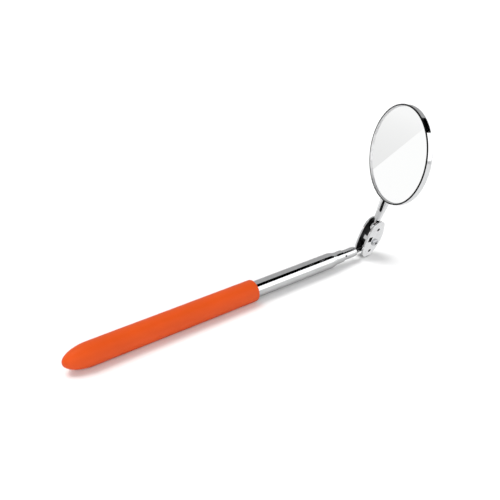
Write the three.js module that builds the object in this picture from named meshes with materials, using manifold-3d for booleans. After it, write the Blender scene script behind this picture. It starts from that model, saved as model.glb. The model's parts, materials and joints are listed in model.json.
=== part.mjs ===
// A telescoping inspection mirror: a round mirror on a clamp with two ball joints, on a rod that
// slides and turns in a chrome tube with a dipped vinyl grip. Millimetres, +Z up. The tool lies with
// its handle along X and its grip on the ground. The origin is on the ground, under the middle of the
// box that the tool fills.
import * as THREE from 'three';
import { mergeVertices } from 'three/addons/utils/BufferGeometryUtils.js';
import Module from 'manifold-3d';

const wasm = await Module();
wasm.setup();

// ---- Driving dimensions. Along the handle, x = 0 is the centre of the ball on the rod. ----
const RAD = Math.PI / 180;
const GRIP_R = 6.3;
const GRIP_FRONT = -89.6;
const GRIP_TIP = -203.3;
const GRIP_NOSE = 14.6; // length of the bullet-shaped closed end
const TUBE_R = 4.765; // 3/8 inch tube
const TUBE_BORE_R = 3.965;
const TUBE_TAIL = -192;
const TUBE_FRONT = -21;
const NOSE_R = 3.75; // the swaged front end of the tube
const NOSE_BORE_R = 3.3;
const ROD_R = 3.1;
const ROD_BORE_R = 2.5;
const ROD_FRONT = -11.4;
const ROD_TRAVEL = 135;
const ROD_STOP = -35; // where the rod's end plug meets the swage, pulled right out
const BALL_R = 3.3;
const NECK_R = 1.5;
const PIN_X = -19.6;
const PIN_R = 0.6;
const PLATE_THICK = 1.3;
const PLATE_GAP = 4.4;
const BALL_PITCH = 16; // from one ball's centre to the other's
const LOBE_R = 5.5;
const PLATE_SIDES = [6.4, 7.6]; // the plate's half-widths, on the tab's side and on the screw's
const SCREW_R = 1.25;
const STEM_START = 4.3; // along the stem, x = 0 is the centre of the mirror's ball
const STEM_END = 21.5;
const STEM_START_R = 1.95;
const STEM_END_R = 3.15;
const STEM_WALL = 0.55;
const STRAP_END = 63;
const CASE_R = 28.65; // a 2 1/4 inch mirror
const CASE_CENTRE = 50.8;
const CASE_FRONT = 5.43; // from the stem's axis to the front of the rim
const CASE_DEPTH = 4;
const CASE_WALL = 0.55;
const RIM_FLAT = [0.25, 0.75]; // the flat front of the rim, in from the outside of the case
const HEM_DROP = 1.55; // the rim's hem slopes in and back from there, down to the glass
const HEM_EDGE = 1.3; // the hem's edge on the glass, in from the outside of the case
const GLASS_THICK = 1.2;
const SCREW_HEAD = { r: 2.4, height: 1.4, slotDepth: 0.7, slotHalf: 0.3 };
const WASHER = { r: 2.3, thick: 0.6, gapHalf: 0.2 };
const NUT = { r: 2.5, height: 1.8 };
const RIVET_R = 1.2;
const FIT = 0.06; // between pieces that are fixed to each other
const RUN = 0.2; // between pieces that move on each other

// ---- The pose at rest ----
const PLATE_ROLL = 16.6 * RAD; // the clamp plates, turned about the handle
const PIN_ROLL = -31.6 * RAD;
const CLAMP_PITCH = 84.3 * RAD; // the clamp, up from the handle's axis
const STEM_PITCH = 1.0 * RAD; // the stem, on from the clamp
const HEAD_SPIN = -19.6 * RAD; // the head, turned about its stem
const SEAM_TURN = 42 * RAD; // where the stem's seam is, round from the mirror's front

// ---- Materials ----
const finish = (color, roughness, metalness) => () =>
  new THREE.MeshStandardMaterial({ color, roughness, metalness });
const vinyl = finish(0xe6592a, 0.55, 0);
const chrome = finish(0xd9dbdd, 0.08, 1);
const steel = finish(0x9a9da0, 0.35, 1);
const bronze = finish(0xb08040, 0.35, 1);
const nylon = finish(0x2b2b2d, 0.6, 0);
const card = finish(0x6b5a45, 0.95, 0);
const paint = finish(0x8a8d90, 0.7, 0);
const silvered = finish(0xeef2f3, 0.02, 1);

// ---- Shape helpers ----
const point2 = ([x, y]) => new THREE.Vector2(x, y);

function signedVolume(geometry) {
  const p = geometry.attributes.position;
  const index = geometry.index.array;
  const [a, b, c] = [new THREE.Vector3(), new THREE.Vector3(), new THREE.Vector3()];
  let sum = 0;
  for (let i = 0; i < index.length; i += 3) {
    a.fromBufferAttribute(p, index[i]);
    b.fromBufferAttribute(p, index[i + 1]);
    c.fromBufferAttribute(p, index[i + 2]);
    sum += a.dot(b.cross(c)) / 6;
  }
  return sum;
}

// Keeps only merged positions, with every face pointing out.
function closed(source) {
  const bare = source.clone();
  bare.deleteAttribute('normal');
  bare.deleteAttribute('uv');
  const geometry = mergeVertices(bare, 1e-4);
  const kept = [];
  const index = geometry.index.array;
  for (let i = 0; i < index.length; i += 3) {
    const [a, b, c] = [index[i], index[i + 1], index[i + 2]];
    if (a !== b && b !== c && c !== a) kept.push(a, b, c);
  }
  geometry.setIndex(kept);
  if (signedVolume(geometry) < 0) geometry.setIndex(kept.reverse());
  return geometry;
}

function toSolid(source) {
  const geometry = closed(source);
  return new wasm.Manifold(new wasm.Mesh({
    numProp: 3,
    vertProperties: new Float32Array(geometry.attributes.position.array),
    triVerts: new Uint32Array(geometry.index.array),
  }));
}

function toGeometry(solid) {
  const mesh = solid.getMesh();
  const geometry = new THREE.BufferGeometry();
  geometry.setAttribute('position', new THREE.BufferAttribute(mesh.vertProperties, 3));
  geometry.setIndex(new THREE.BufferAttribute(mesh.triVerts, 1));
  return geometry;
}

const combine = (how) => (first, ...others) =>
  toGeometry(others.reduce((solid, other) => solid[how](toSolid(other)), toSolid(first)));
const cut = combine('subtract');
const join = combine('add');

// A profile of [along, radius] points, turned about X or about Z.
const turned = (profile, sides = 40) =>
  closed(new THREE.LatheGeometry(profile.map(([x, r]) => point2([r, x])), sides).rotateZ(-Math.PI / 2));
const turnedZ = (profile, sides = 72) =>
  closed(new THREE.LatheGeometry(profile.map(([z, r]) => point2([r, z])), sides).rotateX(Math.PI / 2));

const rod = (x0, x1, r, sides = 24) => turned([[x0, 0], [x0, r], [x1, r], [x1, 0]], sides);
const disc = (z0, z1, r, sides = 72) => turnedZ([[z0, 0], [z0, r], [z1, r], [z1, 0]], sides);
const pipe = (x0, x1, r0, r1, sides = 40) =>
  turned([[x0, r0], [x0, r1], [x1, r1], [x1, r0], [x0, r0]], sides);

function box(x0, x1, y0, y1, z0, z1) {
  return new THREE.BoxGeometry(x1 - x0, y1 - y0, z1 - z0)
    .translate((x0 + x1) / 2, (y0 + y1) / 2, (z0 + z1) / 2);
}

// A cylinder along Y, from y0 to y1.
const post = (x, z, y0, y1, r, sides = 28) =>
  new THREE.CylinderGeometry(r, r, y1 - y0, sides).translate(x, (y0 + y1) / 2, z);

const extruded = (shape, depth, curveSegments) =>
  new THREE.ExtrudeGeometry(shape, { depth, bevelEnabled: false, curveSegments });

function piece(parent, name, geometry, material) {
  const mesh = new THREE.Mesh(geometry, material());
  mesh.name = name;
  parent.add(mesh);
}

// Points on a quarter arc in a profile, from angle a0 to a1 about a centre.
function arc(centre, across, r, a0, a1, steps = 5) {
  return Array.from({ length: steps + 1 }, (_, i) => {
    const a = a0 + ((a1 - a0) * i) / steps;
    return [centre + r * Math.cos(a), across + r * Math.sin(a)];
  });
}

// ---- The handle: a tube with a swaged front end, a plug in its tail and a dipped grip ----
function gripSleeve() {
  const lip = 0.6;
  const bore = TUBE_R + FIT;
  const nose = Array.from({ length: 10 }, (_, i) => {
    const a = (i / 9) * (Math.PI / 2);
    return [GRIP_TIP + GRIP_NOSE * (1 - Math.cos(a)), GRIP_R * Math.sin(a)];
  });
  nose[0][1] = 0;
  return turned([
    ...nose,
    ...arc(GRIP_FRONT - lip, GRIP_R - lip, lip, Math.PI / 2, 0, 3),
    [GRIP_FRONT, bore],
    [TUBE_TAIL - FIT, bore],
    [TUBE_TAIL - FIT, 0],
  ]);
}

function outerTube() {
  const swage = [-32, -25.4];
  const step = (t) => t * t * (3 - 2 * t);
  const shrink = (from, to, back) => [0, 0.25, 0.5, 0.75, 1].map((t) =>
    [swage[0] + back + (swage[1] - swage[0]) * t, from + (to - from) * step(t)]);
  return turned([
    [TUBE_TAIL, TUBE_R],
    ...shrink(TUBE_R, NOSE_R, 0),
    [TUBE_FRONT - 0.3, NOSE_R],
    [TUBE_FRONT, NOSE_R - 0.25],
    [TUBE_FRONT, NOSE_BORE_R],
    ...shrink(TUBE_BORE_R, NOSE_BORE_R, -0.4).reverse(),
    [TUBE_TAIL, TUBE_BORE_R],
    [TUBE_TAIL, TUBE_R],
  ]);
}

const tool = new THREE.Group();
const handle = new THREE.Group();
tool.add(handle);
piece(handle, 'grip_sleeve', gripSleeve(), vinyl);
piece(handle, 'outer_tube', outerTube(), chrome);
piece(handle, 'tail_plug', rod(TUBE_TAIL, TUBE_TAIL + 8, TUBE_BORE_R - FIT), nylon);

// ---- The rod: everything from here on is turned about the handle ----
const rodGroup = new THREE.Group();
rodGroup.rotation.x = PLATE_ROLL;
tool.add(rodGroup);

const rodTail = ROD_STOP - ROD_TRAVEL;
const flange = 1.5;
const spindle = 8.5;
const springStart = rodTail - flange - spindle;

// A split bronze sleeve that grips the tube's bore.
function frictionSpring() {
  const [r0, r1] = [2.75, TUBE_BORE_R - FIT];
  const half = 14 * RAD;
  const shape = new THREE.Shape();
  shape.absarc(0, 0, r1, half, 2 * Math.PI - half, false);
  shape.absarc(0, 0, r0, 2 * Math.PI - half, half, true);
  shape.closePath();
  const length = spindle - 2 * RUN;
  return closed(extruded(shape, length, 28).rotateY(Math.PI / 2).translate(springStart + RUN, 0, 0));
}

const flangeR = 3.6;
const spindleR = 2.5;
const spigot = 8; // how far the plug reaches into the rod
const endPlug = turned([
  [springStart - flange, 0],
  [springStart - flange, flangeR],
  [springStart, flangeR],
  [springStart, spindleR],
  [rodTail - flange, spindleR],
  [rodTail - flange, flangeR],
  [rodTail - FIT, flangeR],
  [rodTail - FIT, ROD_BORE_R - FIT],
  [rodTail + spigot, ROD_BORE_R - FIT],
  [rodTail + spigot, 0],
], 32);

// A ball on a neck. Its profile starts on the ball, at the end away from the neck.
function ballProfile(toNeck) {
  const last = Math.acos(NECK_R / BALL_R) + Math.PI / 2;
  return Array.from({ length: 13 }, (_, i) => {
    const a = (i / 12) * last;
    return [-toNeck * BALL_R * Math.cos(a), i === 0 ? 0 : BALL_R * Math.sin(a)];
  });
}

const pinHole = post(PIN_X, 0, -5, 5, PIN_R + FIT, 16).rotateX(PIN_ROLL);
const shoulder = ROD_FRONT + FIT; // the stud's collar sits on the rod's end
const studTail = ROD_FRONT - 13;
const rodStud = cut(turned([
  ...ballProfile(-1),
  [-6.2, NECK_R],
  [-7.6, 1.9],
  [shoulder + 1.4, 2.75],
  [shoulder, ROD_R - 0.1],
  [shoulder, ROD_BORE_R - FIT],
  [studTail, ROD_BORE_R - FIT],
  [studTail, 0],
], 32), pinHole);

piece(rodGroup, 'friction_spring', frictionSpring(), bronze);
piece(rodGroup, 'rod_end_plug', endPlug, bronze);
piece(rodGroup, 'rod_tube', cut(pipe(rodTail, ROD_FRONT, ROD_BORE_R, ROD_R), pinHole), chrome);
piece(rodGroup, 'rod_ball_stud', rodStud, chrome);
piece(rodGroup, 'stud_cross_pin', post(PIN_X, 0, -ROD_R, ROD_R, PIN_R, 16).rotateX(PIN_ROLL), steel);

// ---- The clamp: two plates on the balls, drawn together by one screw. Its X runs from ball to ball. ----
const clamp = new THREE.Group();
clamp.rotation.y = -CLAMP_PITCH;
rodGroup.add(clamp);

const inner = PLATE_GAP / 2;
const outer = inner + PLATE_THICK;
const seatR = Math.sqrt(BALL_R ** 2 - inner ** 2) + 0.18;
const screwAt = { x: BALL_PITCH / 2 - 2.1, z: -2.1 };
const tabAt = { x: BALL_PITCH / 2 + 0.7, z: 3.1, halfX: 1.5, halfZ: 1.2 };

// The outline bulges between two round ends, which it meets at a tangent.
function plate(y0) {
  const middle = BALL_PITCH / 2;
  const open = 112 * RAD;
  const reach = LOBE_R * Math.cos(open);
  const end = LOBE_R * Math.sin(open);
  const lead = { x: reach + 3 * Math.sin(open), z: end - 3 * Math.cos(open) };
  const [tabSide, screwSide] = PLATE_SIDES;
  const shape = new THREE.Shape();
  shape.absarc(0, 0, LOBE_R, open, 2 * Math.PI - open, false);
  shape.bezierCurveTo(lead.x, -lead.z, middle - 4, -screwSide, middle, -screwSide);
  shape.bezierCurveTo(middle + 4, -screwSide, BALL_PITCH - lead.x, -lead.z, BALL_PITCH - reach, -end);
  shape.absarc(BALL_PITCH, 0, LOBE_R, Math.PI + open, Math.PI - open, false);
  shape.bezierCurveTo(BALL_PITCH - lead.x, lead.z, middle + 4, tabSide, middle, tabSide);
  shape.bezierCurveTo(middle - 4, tabSide, lead.x, lead.z, reach, end);
  for (const x of [0, BALL_PITCH]) {
    const seat = new THREE.Path();
    seat.absarc(x, 0, seatR, 0, 2 * Math.PI, true);
    shape.holes.push(seat);
  }
  const screw = new THREE.Path();
  screw.absarc(screwAt.x, screwAt.z, SCREW_R + FIT, 0, 2 * Math.PI, true);
  shape.holes.push(screw);
  return extruded(shape, PLATE_THICK, 18).rotateX(Math.PI / 2).translate(0, y0 + PLATE_THICK, 0);
}

const tabBox = (grow, y0, y1) => box(
  tabAt.x - tabAt.halfX - grow, tabAt.x + tabAt.halfX + grow, y0, y1,
  tabAt.z - tabAt.halfZ - grow, tabAt.z + tabAt.halfZ + grow);

const frontPlate = cut(plate(-outer), tabBox(0.3, -outer - 1, -inner + 1));
const backPlate = join(plate(inner), tabBox(0, -inner - 0.5, inner + 0.4));

// The screw goes through both plates from the front, with its slotted head outside the front plate.
const headFace = -outer - FIT;
const slotFloor = headFace - SCREW_HEAD.height + SCREW_HEAD.slotDepth;
const clampScrew = cut(
  join(post(screwAt.x, screwAt.z, headFace - 0.02, outer + 2.9, SCREW_R),
    post(screwAt.x, screwAt.z, headFace - SCREW_HEAD.height, headFace, SCREW_HEAD.r)),
  box(screwAt.x - 3, screwAt.x + 3, headFace - 2, slotFloor,
    screwAt.z - SCREW_HEAD.slotHalf, screwAt.z + SCREW_HEAD.slotHalf));

const washerFace = outer + FIT;
function washer() {
  const ring = cut(post(screwAt.x, screwAt.z, washerFace, washerFace + WASHER.thick, WASHER.r),
    post(screwAt.x, screwAt.z, outer - 1, outer + 2, SCREW_R + 0.1));
  return cut(ring, box(screwAt.x, screwAt.x + 4, outer - 1, outer + 2,
    screwAt.z - WASHER.gapHalf, screwAt.z + WASHER.gapHalf));
}

const nutFace = washerFace + WASHER.thick + FIT;
const clampNut = cut(post(screwAt.x, screwAt.z, nutFace, nutFace + NUT.height, NUT.r, 6),
  post(screwAt.x, screwAt.z, nutFace - 1, nutFace + NUT.height + 1, SCREW_R + FIT));

piece(clamp, 'front_clamp_plate', frontPlate, chrome);
piece(clamp, 'back_clamp_plate', backPlate, chrome);
piece(clamp, 'clamp_screw', clampScrew, steel);
piece(clamp, 'lock_washer', washer(), steel);
piece(clamp, 'clamp_nut', clampNut, steel);

// ---- The mirror's ball stud. Its X runs along the stem. ----
const pivot = new THREE.Group();
pivot.position.x = BALL_PITCH;
pivot.rotation.y = -STEM_PITCH;
clamp.add(pivot);
const studReach = 15;
piece(pivot, 'mirror_ball_stud', turned([
  ...ballProfile(1),
  [STEM_START + 1.2, NECK_R * 0.8],
  [studReach, NECK_R * 0.8],
  [studReach, 1.8],
  [studReach + 1.2, 1.8],
  [studReach + 1.2, 0],
], 28), steel);

// ---- The head: a rolled stem with a strap behind the drawn case. Its Z is the mirror's normal. ----
const head = new THREE.Group();
head.rotation.x = HEAD_SPIN;
pivot.add(head);

const caseBack = CASE_FRONT - CASE_DEPTH;
const strap = { half: 4.5, z0: caseBack - FIT - 1.05, z1: caseBack - FIT };
const rivetAt = [CASE_CENTRE - 8, CASE_CENTRE + 7];

const rivetShank = (x, r, z0, z1) => disc(z0, z1, r, 20).translate(x, 0, 0);

function strapPlate() {
  const shape = new THREE.Shape();
  shape.moveTo(STEM_END - 3, -2.2);
  shape.bezierCurveTo(STEM_END + 3, -2.4, STEM_END + 4, -strap.half, STEM_END + 9, -strap.half);
  shape.lineTo(STRAP_END - strap.half, -strap.half);
  shape.absarc(STRAP_END - strap.half, 0, strap.half, -Math.PI / 2, Math.PI / 2, false);
  shape.lineTo(STEM_END + 9, strap.half);
  shape.bezierCurveTo(STEM_END + 4, strap.half, STEM_END + 3, 2.4, STEM_END - 3, 2.2);
  shape.closePath();
  return extruded(shape, strap.z1 - strap.z0, 10).translate(0, 0, strap.z0);
}

function stemBracket() {
  const wall = STEM_WALL;
  const cone = turned([
    [STEM_START, STEM_START_R - wall],
    [STEM_START, STEM_START_R],
    [STEM_END, STEM_END_R],
    [STEM_END, STEM_END_R - wall],
    [STEM_START, STEM_START_R - wall],
  ], 32);
  const slotStart = 14.7;
  const seam = box(STEM_START - 1, STEM_END + 1, -0.12, 0.12, 0, 5).rotateX(SEAM_TURN);
  const slot = box(slotStart, STEM_END + 1, -0.55, 0.55, 1, 5).rotateX(SEAM_TURN);
  const holes = rivetAt.map((x) => rivetShank(x, RIVET_R + FIT, strap.z0 - 1, strap.z1 + 1));
  return cut(join(cut(cone, seam, slot), strapPlate()), ...holes);
}

// A drawn cup. Its rim has a narrow flat front, and a hem that slopes in to hold the glass.
function mirrorCase() {
  const corner = 0.9;
  const round = RIM_FLAT[0];
  const hem = CASE_FRONT - HEM_DROP;
  const profile = turnedZ([
    [caseBack, 0],
    ...arc(caseBack + corner, CASE_R - corner, corner, Math.PI, Math.PI / 2, 4),
    ...arc(CASE_FRONT - round, CASE_R - round, round, Math.PI / 2, 0, 3),
    [CASE_FRONT, CASE_R - RIM_FLAT[1]],
    [CASE_FRONT - 0.15, CASE_R - RIM_FLAT[1] - 0.1],
    [hem, CASE_R - HEM_EDGE],
    [hem, CASE_R - CASE_WALL],
    [caseBack + CASE_WALL, CASE_R - CASE_WALL],
    [caseBack + CASE_WALL, 0],
  ]).translate(CASE_CENTRE, 0, 0);
  return cut(profile, ...rivetAt.map((x) => rivetShank(x, RIVET_R + FIT, caseBack - 1, caseBack + 2)));
}

function rivet(x) {
  const outside = strap.z0 - FIT;
  const inside = caseBack + CASE_WALL + FIT;
  const setHead = { r: 1.9, height: 0.25 };
  return turnedZ([
    [outside - 0.8, 0],
    [outside - 0.6, 1.5],
    [outside, 2.2],
    [outside, RIVET_R],
    [inside, RIVET_R],
    [inside, setHead.r],
    [inside + setHead.height, setHead.r],
    [inside + setHead.height, 0],
  ], 24).translate(x, 0, 0);
}

const glassR = CASE_R - CASE_WALL - 0.15;
const glassFront = CASE_FRONT - HEM_DROP - FIT;
const glassBack = glassFront - GLASS_THICK;
const paintBack = glassBack - FIT - 0.12;
const padBack = caseBack + CASE_WALL + FIT;
const onCase = (geometry) => geometry.translate(CASE_CENTRE, 0, 0);

piece(head, 'stem_bracket', stemBracket(), chrome);
piece(head, 'mirror_case', mirrorCase(), chrome);
piece(head, 'mirror_glass', onCase(disc(glassBack, glassFront, glassR)), silvered);
piece(head, 'silvering', onCase(disc(paintBack, glassBack - FIT, glassR - 0.3)), paint);
piece(head, 'backing_pad', cut(onCase(disc(padBack, paintBack - FIT, glassR - 0.1)),
  ...rivetAt.map((x) => rivetShank(x, 2.3, padBack - 1, paintBack + 1))), card);
rivetAt.forEach((x, i) => piece(head, ['lower_rivet', 'upper_rivet'][i], rivet(x), steel));

// ---- The origin: on the ground, under the middle of the whole tool's box ----
tool.updateMatrixWorld(true);
const bounds = new THREE.Box3().setFromObject(tool, true);
tool.position.set(-(bounds.min.x + bounds.max.x) / 2, -(bounds.min.y + bounds.max.y) / 2, -bounds.min.z);

export default tool;
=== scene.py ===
"""A telescoping inspection mirror, lying on a pale floor: the fine meshes, finishes, lights and camera."""

import json
import math

import bmesh
import bpy
import numpy as np
from mathutils import Matrix, Vector, noise


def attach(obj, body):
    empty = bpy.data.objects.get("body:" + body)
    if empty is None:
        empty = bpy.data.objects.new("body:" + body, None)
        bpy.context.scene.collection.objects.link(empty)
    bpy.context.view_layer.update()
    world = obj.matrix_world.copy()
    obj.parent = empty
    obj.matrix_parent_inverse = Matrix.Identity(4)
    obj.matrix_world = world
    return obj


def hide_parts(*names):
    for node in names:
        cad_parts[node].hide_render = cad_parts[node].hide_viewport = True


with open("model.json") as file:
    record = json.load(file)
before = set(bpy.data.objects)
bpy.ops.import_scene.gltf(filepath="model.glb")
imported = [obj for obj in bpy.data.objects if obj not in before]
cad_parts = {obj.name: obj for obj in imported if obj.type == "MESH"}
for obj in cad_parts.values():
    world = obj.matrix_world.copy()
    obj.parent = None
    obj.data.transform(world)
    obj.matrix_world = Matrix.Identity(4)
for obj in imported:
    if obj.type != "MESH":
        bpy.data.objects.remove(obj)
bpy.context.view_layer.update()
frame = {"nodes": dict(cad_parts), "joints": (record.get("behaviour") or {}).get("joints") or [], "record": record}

MM = 0.001
TAU = 2 * math.pi
SHARP = math.radians(32)  # An edge that turns more than this stays sharp
GAP = 0.06  # Left between neighbouring pieces, in millimetres


# ---- The frame's own axes, one matrix per moving group, from local millimetres to the row frame ----
def axes(origin, along, normal):
    """Local X runs along, local Y is the nearest to normal, and the origin is in metres."""
    x = Vector(along).normalized()
    z = x.cross(Vector(normal)).normalized()
    y = z.cross(x)
    turn = Matrix((x, y, z)).transposed().to_4x4()
    return Matrix.Translation(Vector(origin)) @ turn @ Matrix.Scale(MM, 4)


JOINTS = {j["name"]: j for j in frame["joints"]}
MOUNTS = {m["name"]: m for m in frame["record"]["mounts"]}
BALL_1 = Vector(JOINTS["clamp_tilt"]["pos_m"])
BALL_2 = Vector(JOINTS["stem_tilt"]["pos_m"])
PLATE_NORMAL = Vector(JOINTS["clamp_tilt"]["axis"])
STEM_AXIS = Vector(JOINTS["head_turn"]["axis"])
MIRROR_NORMAL = Vector(MOUNTS["mirror_rim"]["axis"])

HANDLE = axes(BALL_1, (1, 0, 0), PLATE_NORMAL)
CLAMP = axes(BALL_1, BALL_2 - BALL_1, PLATE_NORMAL)
HEAD = axes(BALL_2, STEM_AXIS, MIRROR_NORMAL.cross(STEM_AXIS))


def extent(node, matrix, axis):
    """Lowest and highest local coordinate of a CAD node along one local axis, in millimetres."""
    inverse = matrix.inverted()
    values = [(inverse @ v.co)[axis] for v in frame["nodes"][node].data.vertices]
    return min(values), max(values)


def middle(node, matrix, axis):
    return sum(extent(node, matrix, axis)) / 2


def half(node, matrix, axis):
    low, high = extent(node, matrix, axis)
    return (high - low) / 2


# ---- Sizes read from the frame, in millimetres ----
GRIP_TIP, GRIP_FRONT = extent("grip_sleeve", HANDLE, 0)
GRIP_R = half("grip_sleeve", HANDLE, 1)
TUBE_TAIL, TUBE_FRONT = extent("outer_tube", HANDLE, 0)
TUBE_R = half("outer_tube", HANDLE, 1)
ROD_TAIL, ROD_FRONT = extent("rod_tube", HANDLE, 0)
ROD_R = half("rod_tube", HANDLE, 1)
BALL_R = extent("rod_ball_stud", HANDLE, 0)[1]
BALL_PITCH = (BALL_2 - BALL_1).length / MM
PLATE_OUT, PLATE_IN = extent("front_clamp_plate", CLAMP, 1)
PLATE_THICK = PLATE_IN - PLATE_OUT
LOBE_R = -extent("front_clamp_plate", CLAMP, 0)[0]
SCREW_X = middle("clamp_screw", CLAMP, 0)
SCREW_Z = middle("clamp_screw", CLAMP, 2)
SCREW_END = extent("clamp_screw", CLAMP, 1)[1]
NUT_FACE, NUT_END = extent("clamp_nut", CLAMP, 1)
STEM_START = extent("stem_bracket", HEAD, 0)[0]
STRAP_END = extent("stem_bracket", HEAD, 0)[1]
CASE_X = middle("mirror_case", HEAD, 0)
CASE_R = half("mirror_case", HEAD, 0)
CASE_BACK, CASE_FRONT = extent("mirror_case", HEAD, 2)
GLASS_BACK, GLASS_FRONT = extent("mirror_glass", HEAD, 2)
GLASS_R = half("mirror_glass", HEAD, 0)


# ---- Camera ----
CAMERA_AZIMUTH = math.radians(-38.17)
CAMERA_ELEVATION = math.radians(26.08)
CAMERA_DISTANCE = 0.44
CAMERA_LENS = 50.4
CAMERA_SENSOR = 36
CAMERA_AIM = Vector((0.0378, 0.0624, 0.0042))


def add_camera():
    flat = math.cos(CAMERA_ELEVATION)
    back = Vector((
        math.sin(CAMERA_AZIMUTH) * flat, -math.cos(CAMERA_AZIMUTH) * flat, math.sin(CAMERA_ELEVATION)))
    data = bpy.data.cameras.new("camera")
    data.lens = CAMERA_LENS
    data.sensor_width = CAMERA_SENSOR
    data.clip_start = 0.01
    camera = bpy.data.objects.new("camera", data)
    camera.location = CAMERA_AIM + back * CAMERA_DISTANCE
    camera.rotation_euler = back.to_track_quat("Z", "Y").to_euler()
    bpy.context.scene.collection.objects.link(camera)
    bpy.context.scene.camera = camera


# ---- Materials ----
def add_node(tree, kind, **inputs):
    """A new node, its inputs set by name. An underscore stands for a space."""
    node = tree.nodes.new(kind)
    for name, value in inputs.items():
        node.inputs[name.replace("_", " ")].default_value = value
    return node


class Finish:
    """One material's node tree, with short calls for the nodes that most finishes share."""

    def __init__(self, name, base, roughness, metallic=0.0):
        self.material = bpy.data.materials.new(name)
        self.material.use_nodes = True
        self.tree = self.material.node_tree
        self.shader = self.tree.nodes["Principled BSDF"]
        self.set("Base Color", (*base, 1))
        self.set("Roughness", roughness)
        self.set("Metallic", metallic)
        self.coords = self.add("ShaderNodeTexCoord").outputs["Object"]

    def set(self, socket, value):
        self.shader.inputs[socket].default_value = value
        return self

    def add(self, kind, **inputs):
        return add_node(self.tree, kind, **inputs)

    def link(self, output, node, socket):
        self.tree.links.new(output, node.inputs[socket])

    def stretched(self, matrix, scale):
        """Object coordinates in a group's own axes, scaled: marks run long where the scale is small."""
        turn = matrix.to_3x3().normalized().transposed().to_euler()
        turned = self.add("ShaderNodeMapping", Rotation=turn)
        self.link(self.coords, turned, "Vector")
        scaled = self.add("ShaderNodeMapping", Scale=scale)
        self.link(turned.outputs[0], scaled, "Vector")
        return scaled.outputs[0]

    def noise(self, scale, detail=4.0, vector=None):
        node = self.add("ShaderNodeTexNoise", Scale=scale, Detail=detail)
        self.link(vector or self.coords, node, "Vector")
        return node.outputs["Fac"]

    def spread(self, value, low, high, start=0.3, end=0.7):
        node = self.add("ShaderNodeMapRange", From_Min=start, From_Max=end, To_Min=low, To_Max=high)
        self.link(value, node, "Value")
        return node.outputs["Result"]

    def vary_roughness(self, value, low, high):
        self.link(self.spread(value, low, high), self.shader, "Roughness")
        return self

    def vary_colour(self, value, first, second, start=0.35, end=0.65):
        """The first colour where the value is at start or below, and the second at end or above."""
        mix = self.add("ShaderNodeMix")
        mix.data_type = "RGBA"
        for name, colour in (("A", first), ("B", second)):
            socket = next(s for s in mix.inputs if s.name == name and s.type == "RGBA")
            socket.default_value = (*colour, 1)
        self.link(self.spread(value, 0, 1, start, end), mix, "Factor")
        result = next(s for s in mix.outputs if s.type == "RGBA")
        self.link(result, self.shader, "Base Color")
        return self

    def bumps(self, *layers):
        """Each layer is a height and its depth in millimetres."""
        normal = None
        for height, depth in layers:
            bump = self.add("ShaderNodeBump", Distance=depth * MM, Strength=1.0)
            self.link(height, bump, "Height")
            if normal:
                self.link(normal, bump, "Normal")
            normal = bump.outputs["Normal"]
        self.link(normal, self.shader, "Normal")
        return self


def chrome(name, matrix, roughness=0.04, ripple=0.0015, tint=(0.86, 0.865, 0.875)):
    """Bright chrome plate: faint ripple under the plating, long polishing marks and a haze of handling."""
    hazed_tint = tuple(c * 0.93 for c in tint)
    polished, handled = roughness * 0.7, roughness * 1.9
    mark_depth = ripple * 0.12
    f = Finish(name, tint, roughness, metallic=1.0)
    marks = f.noise(900, 3, f.stretched(matrix, (0.02, 1, 1)))
    f.vary_colour(f.noise(120, 5), tint, hazed_tint)
    f.vary_roughness(f.noise(260, 6), polished, handled)
    return f.bumps((f.noise(90, 2), ripple), (marks, mark_depth)).material


def plated_steel(name, matrix):
    """Zinc-plated steel: satin, with fine tooling marks."""
    f = Finish(name, (0.62, 0.63, 0.64), 0.25, metallic=1.0)
    marks = f.noise(2500, 2, f.stretched(matrix, (1, 0.1, 0.1)))
    f.vary_colour(f.noise(500, 4), (0.66, 0.67, 0.68), (0.5, 0.51, 0.53))
    f.vary_roughness(f.noise(900, 4), 0.16, 0.36)
    return f.bumps((marks, 0.006)).material


def painted_shade_steel(name, matrix):
    """Dark steel colour that paints shade into recesses, slots, holes and the faces between parts, and a painted
    dark line on the case's rim.
    """
    f = Finish(name, (0.016, 0.0165, 0.0175), 0.4, metallic=1.0)
    grain = f.noise(1200, 3, f.stretched(matrix, (0.2, 1, 1)))
    f.vary_colour(f.noise(400, 4), (0.02, 0.0205, 0.022), (0.01, 0.0105, 0.011))
    f.vary_roughness(f.noise(700, 4), 0.32, 0.52)
    return f.bumps((grain, 0.006)).material


def satin_chrome(name):
    """Plating over a rolled edge, light and much duller than the drawn face."""
    f = Finish(name, (0.88, 0.885, 0.89), 0.6, metallic=1.0)
    f.vary_colour(f.noise(300, 4), (0.92, 0.925, 0.93), (0.8, 0.805, 0.81))
    f.vary_roughness(f.noise(600, 4), 0.55, 0.7)
    return f.bumps((f.noise(500, 3), 0.004)).material


def bronze(name):
    f = Finish(name, (0.66, 0.44, 0.2), 0.3, metallic=1.0)
    f.vary_colour(f.noise(300, 4), (0.7, 0.47, 0.22), (0.5, 0.3, 0.13))
    f.vary_roughness(f.noise(700, 4), 0.2, 0.42)
    return f.bumps((f.noise(1500, 3), 0.006)).material


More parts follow.
